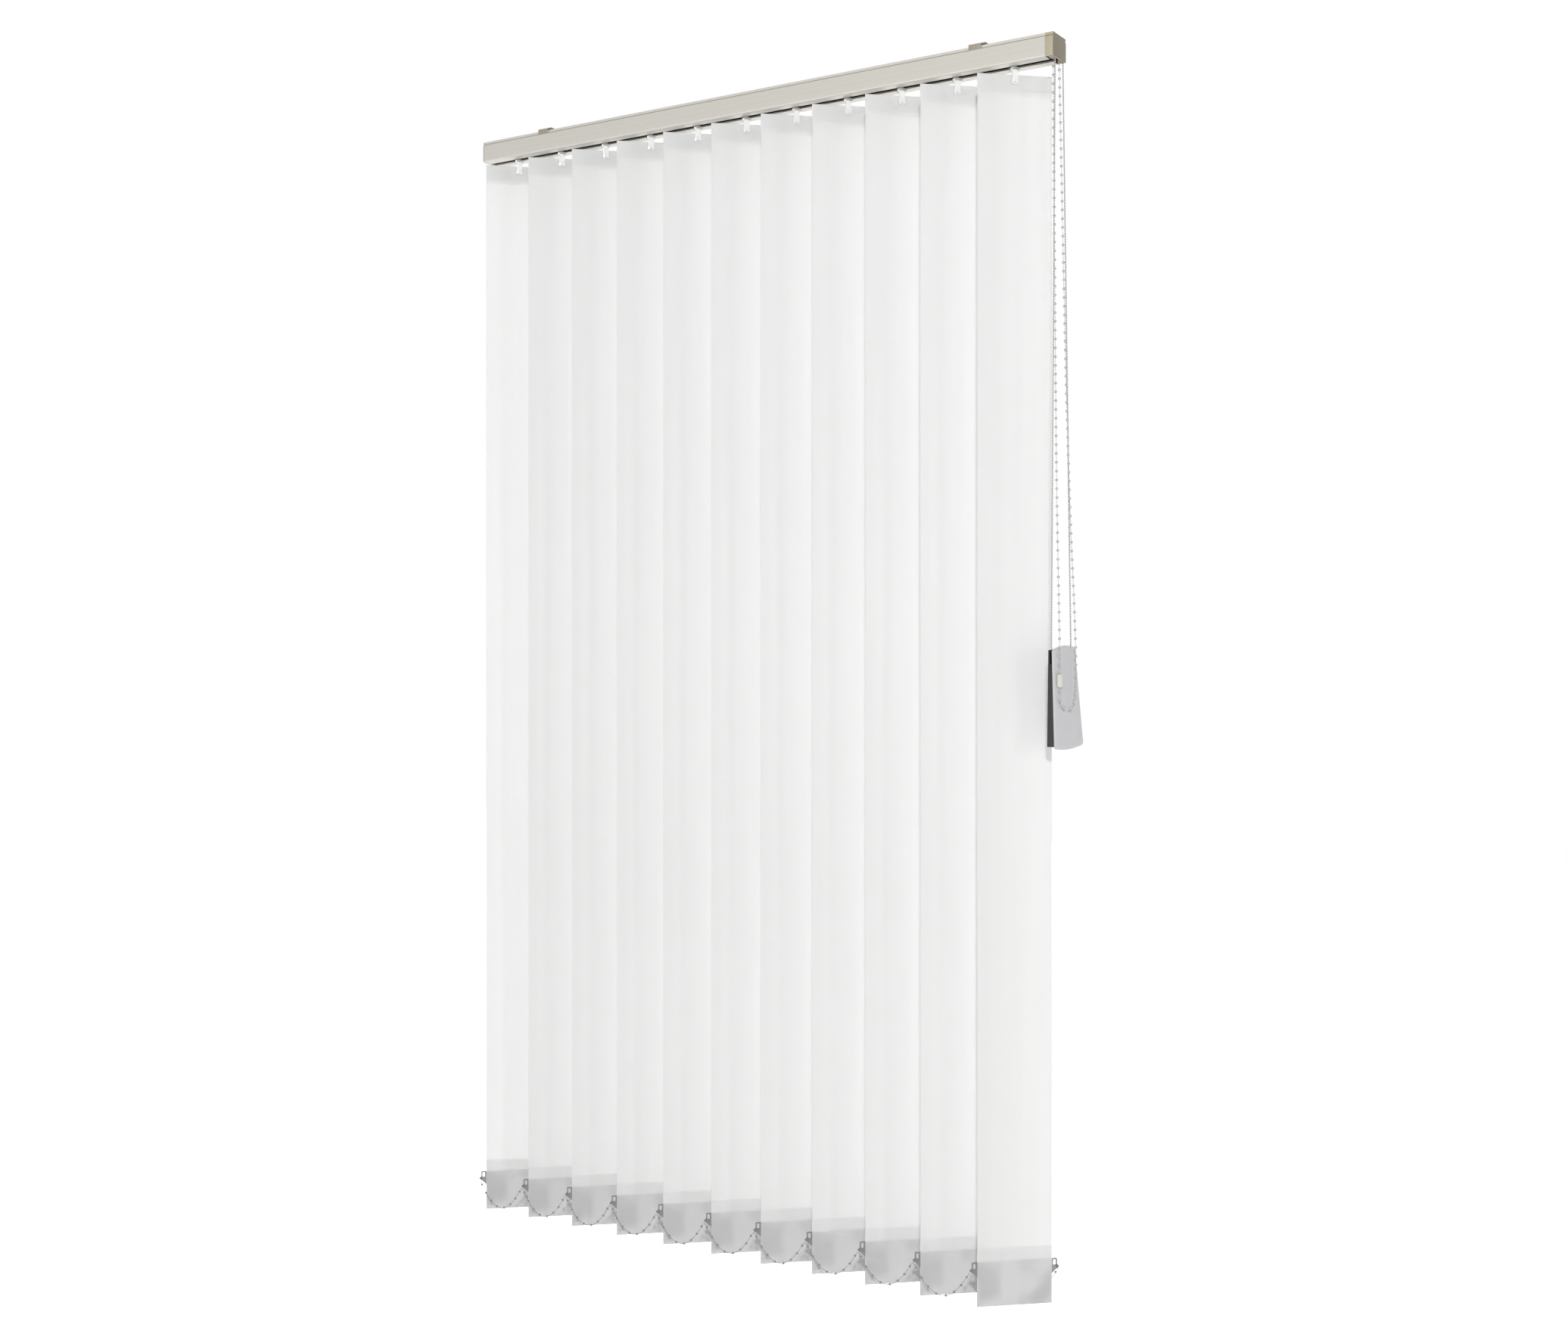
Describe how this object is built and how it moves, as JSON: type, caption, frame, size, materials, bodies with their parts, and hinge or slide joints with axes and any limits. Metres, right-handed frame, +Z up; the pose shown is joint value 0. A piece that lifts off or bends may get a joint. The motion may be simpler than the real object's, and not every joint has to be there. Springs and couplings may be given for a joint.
{
  "type": "vertical blind",
  "caption": "Vertical blind: slotted headrail with hooked cloth louvres, bottom weights and spacer chains, a bead chain that tilts them and a draw cord kept tight by a pendant.",
  "frame": {"origin": "on the ceiling plane, midway between the screws of the two ceiling brackets", "axes": "+X along the rail to the control end, +Y from the room to the window, +Z up"},
  "size_m": [0.8622, 0.0774, 1.4554],
  "materials": {
    "rail_aluminium": "satin",
    "bracket_steel": "satin",
    "cap_plastic": "satin",
    "hook_plastic": "gloss",
    "louvre_cloth": "matt",
    "weight_steel": "satin",
    "spacer_plastic": "satin",
    "bead_plastic": "gloss",
    "cord_braid": "matt",
    "cover_plastic": "satin",
    "pendant_plastic": "satin",
    "carrier_plastic": "satin",
    "rod_aluminium": "satin"
  },
  "bodies": {
    "rail": {"headrail": "rail_aluminium", "return_end_cap": "cap_plastic", "control_end_cap": "cap_plastic", "ceiling_brackets": "bracket_steel", "draw_cord_rail": "cord_braid", "draw_cord_loop": "cord_braid", "tilt_chain": "bead_plastic", "chain_connector": "bead_plastic", "pendant_cover": "cover_plastic", "pendant_body": "pendant_plastic", "carrier_11": "carrier_plastic"},
    "tilt_drive": {"tilt_rod": "rod_aluminium", "chain_wheel": "carrier_plastic"},
    "return_pulley": {"return_pulley": "carrier_plastic"},
    "pendant_pulley": {"pendant_pulley": "carrier_plastic"},
    "spacer_front": {"spacer_chain_front": "spacer_plastic"},
    "spacer_back": {"spacer_chain_back": "spacer_plastic"},
    "carrier_01": {"carrier_01": "carrier_plastic"},
    "carrier_02": {"carrier_02": "carrier_plastic"},
    "carrier_03": {"carrier_03": "carrier_plastic"},
    "carrier_04": {"carrier_04": "carrier_plastic"},
    "carrier_05": {"carrier_05": "carrier_plastic"},
    "carrier_06": {"carrier_06": "carrier_plastic"},
    "carrier_07": {"carrier_07": "carrier_plastic"},
    "carrier_08": {"carrier_08": "carrier_plastic"},
    "carrier_09": {"carrier_09": "carrier_plastic"},
    "carrier_10": {"carrier_10": "carrier_plastic"},
    "louvre_01": {"hanger_01": "hook_plastic", "louvre_01": "louvre_cloth", "weight_01": "weight_steel"},
    "louvre_02": {"hanger_02": "hook_plastic", "louvre_02": "louvre_cloth", "weight_02": "weight_steel"},
    "louvre_03": {"hanger_03": "hook_plastic", "louvre_03": "louvre_cloth", "weight_03": "weight_steel"},
    "louvre_04": {"hanger_04": "hook_plastic", "louvre_04": "louvre_cloth", "weight_04": "weight_steel"},
    "louvre_05": {"hanger_05": "hook_plastic", "louvre_05": "louvre_cloth", "weight_05": "weight_steel"},
    "louvre_06": {"hanger_06": "hook_plastic", "louvre_06": "louvre_cloth", "weight_06": "weight_steel"},
    "louvre_07": {"hanger_07": "hook_plastic", "louvre_07": "louvre_cloth", "weight_07": "weight_steel"},
    "louvre_08": {"hanger_08": "hook_plastic", "louvre_08": "louvre_cloth", "weight_08": "weight_steel"},
    "louvre_09": {"hanger_09": "hook_plastic", "louvre_09": "louvre_cloth", "weight_09": "weight_steel"},
    "louvre_10": {"hanger_10": "hook_plastic", "louvre_10": "louvre_cloth", "weight_10": "weight_steel"},
    "louvre_11": {"hanger_11": "hook_plastic", "louvre_11": "louvre_cloth", "weight_11": "weight_steel"}
  },
  "joints": [
    {"name": "traverse_01", "type": "slide", "parent": "rail", "child": "carrier_01", "axis": [1, 0, 0], "range_m": [0, 0.55], "deforming": ["spacer_chain_front", "spacer_chain_back"]},
    {"name": "traverse_02", "type": "slide", "parent": "rail", "child": "carrier_02", "axis": [1, 0, 0], "range_m": [0, 0.495]},
    {"name": "traverse_03", "type": "slide", "parent": "rail", "child": "carrier_03", "axis": [1, 0, 0], "range_m": [0, 0.44]},
    {"name": "traverse_04", "type": "slide", "parent": "rail", "child": "carrier_04", "axis": [1, 0, 0], "range_m": [0, 0.385]},
    {"name": "traverse_05", "type": "slide", "parent": "rail", "child": "carrier_05", "axis": [1, 0, 0], "range_m": [0, 0.33]},
    {"name": "traverse_06", "type": "slide", "parent": "rail", "child": "carrier_06", "axis": [1, 0, 0], "range_m": [0, 0.275]},
    {"name": "traverse_07", "type": "slide", "parent": "rail", "child": "carrier_07", "axis": [1, 0, 0], "range_m": [0, 0.22]},
    {"name": "traverse_08", "type": "slide", "parent": "rail", "child": "carrier_08", "axis": [1, 0, 0], "range_m": [0, 0.165]},
    {"name": "traverse_09", "type": "slide", "parent": "rail", "child": "carrier_09", "axis": [1, 0, 0], "range_m": [0, 0.11]},
    {"name": "traverse_10", "type": "slide", "parent": "rail", "child": "carrier_10", "axis": [1, 0, 0], "range_m": [0, 0.055]},
    {"name": "tilt_01", "type": "hinge", "parent": "carrier_01", "child": "louvre_01", "pos_m": [-0.38025, 0, -0.0296], "axis": [0, 0, 1], "range_deg": [-30, 125], "deforming": ["tilt_chain"]},
    {"name": "tilt_02", "type": "hinge", "parent": "carrier_02", "child": "louvre_02", "pos_m": [-0.30625, 0, -0.0296], "axis": [0, 0, 1], "range_deg": [-30, 125]},
    {"name": "tilt_03", "type": "hinge", "parent": "carrier_03", "child": "louvre_03", "pos_m": [-0.23225, 0, -0.0296], "axis": [0, 0, 1], "range_deg": [-30, 125]},
    {"name": "tilt_04", "type": "hinge", "parent": "carrier_04", "child": "louvre_04", "pos_m": [-0.15825, 0, -0.0296], "axis": [0, 0, 1], "range_deg": [-30, 125]},
    {"name": "tilt_05", "type": "hinge", "parent": "carrier_05", "child": "louvre_05", "pos_m": [-0.08425, 0, -0.0296], "axis": [0, 0, 1], "range_deg": [-30, 125]},
    {"name": "tilt_06", "type": "hinge", "parent": "carrier_06", "child": "louvre_06", "pos_m": [-0.01025, 0, -0.0296], "axis": [0, 0, 1], "range_deg": [-30, 125]},
    {"name": "tilt_07", "type": "hinge", "parent": "carrier_07", "child": "louvre_07", "pos_m": [0.06375, 0, -0.0296], "axis": [0, 0, 1], "range_deg": [-30, 125]},
    {"name": "tilt_08", "type": "hinge", "parent": "carrier_08", "child": "louvre_08", "pos_m": [0.13775, 0, -0.0296], "axis": [0, 0, 1], "range_deg": [-30, 125]},
    {"name": "tilt_09", "type": "hinge", "parent": "carrier_09", "child": "louvre_09", "pos_m": [0.21175, 0, -0.0296], "axis": [0, 0, 1], "range_deg": [-30, 125]},
    {"name": "tilt_10", "type": "hinge", "parent": "carrier_10", "child": "louvre_10", "pos_m": [0.28575, 0, -0.0296], "axis": [0, 0, 1], "range_deg": [-30, 125]},
    {"name": "tilt_11", "type": "hinge", "parent": "rail", "child": "louvre_11", "pos_m": [0.35975, 0, -0.0296], "axis": [0, 0, 1], "range_deg": [-30, 125]},
    {"name": "rod_spin", "type": "hinge", "parent": "rail", "child": "tilt_drive", "pos_m": [0.40575, 0.0042, -0.0151], "axis": [1, 0, 0], "range_deg": [-434, 1802]},
    {"name": "return_pulley_spin", "type": "hinge", "parent": "rail", "child": "return_pulley", "pos_m": [-0.41225, 0.00425, -0.0221], "axis": [0, 0, 1], "range_deg": [-2, 2934]},
    {"name": "pendant_pulley_spin", "type": "hinge", "parent": "rail", "child": "pendant_pulley", "pos_m": [0.41648, 0.00686, -0.72749], "axis": [0.9659, -0.2588, 0], "range_deg": [-2, 3391]},
    {"name": "spacer_front_swivel", "type": "hinge", "parent": "louvre_01", "child": "spacer_front", "pos_m": [-0.41955, -0.03601, -1.41335], "axis": [0, 0, 1], "range_deg": [-125, 30]},
    {"name": "spacer_back_swivel", "type": "hinge", "parent": "louvre_01", "child": "spacer_back", "pos_m": [-0.34095, 0.03601, -1.41335], "axis": [0, 0, 1], "range_deg": [-125, 30]}
  ],
  "couplings": [
    {"joint": "traverse_02", "follows": "traverse_01", "ratio": 0.9},
    {"joint": "traverse_03", "follows": "traverse_01", "ratio": 0.8},
    {"joint": "traverse_04", "follows": "traverse_01", "ratio": 0.7},
    {"joint": "traverse_05", "follows": "traverse_01", "ratio": 0.6},
    {"joint": "traverse_06", "follows": "traverse_01", "ratio": 0.5},
    {"joint": "traverse_07", "follows": "traverse_01", "ratio": 0.4},
    {"joint": "traverse_08", "follows": "traverse_01", "ratio": 0.3},
    {"joint": "traverse_09", "follows": "traverse_01", "ratio": 0.2},
    {"joint": "traverse_10", "follows": "traverse_01", "ratio": 0.1},
    {"joint": "tilt_02", "follows": "tilt_01", "ratio": 1},
    {"joint": "tilt_03", "follows": "tilt_01", "ratio": 1},
    {"joint": "tilt_04", "follows": "tilt_01", "ratio": 1},
    {"joint": "tilt_05", "follows": "tilt_01", "ratio": 1},
    {"joint": "tilt_06", "follows": "tilt_01", "ratio": 1},
    {"joint": "tilt_07", "follows": "tilt_01", "ratio": 1},
    {"joint": "tilt_08", "follows": "tilt_01", "ratio": 1},
    {"joint": "tilt_09", "follows": "tilt_01", "ratio": 1},
    {"joint": "tilt_10", "follows": "tilt_01", "ratio": 1},
    {"joint": "tilt_11", "follows": "tilt_01", "ratio": 1},
    {"joint": "rod_spin", "follows": "tilt_01", "ratio": 14.4},
    {"joint": "return_pulley_spin", "follows": "traverse_01", "rad_per_m": 93.023},
    {"joint": "pendant_pulley_spin", "follows": "traverse_01", "rad_per_m": 107.53},
    {"joint": "spacer_front_swivel", "follows": "tilt_01", "ratio": -1},
    {"joint": "spacer_back_swivel", "follows": "tilt_01", "ratio": -1}
  ]
}
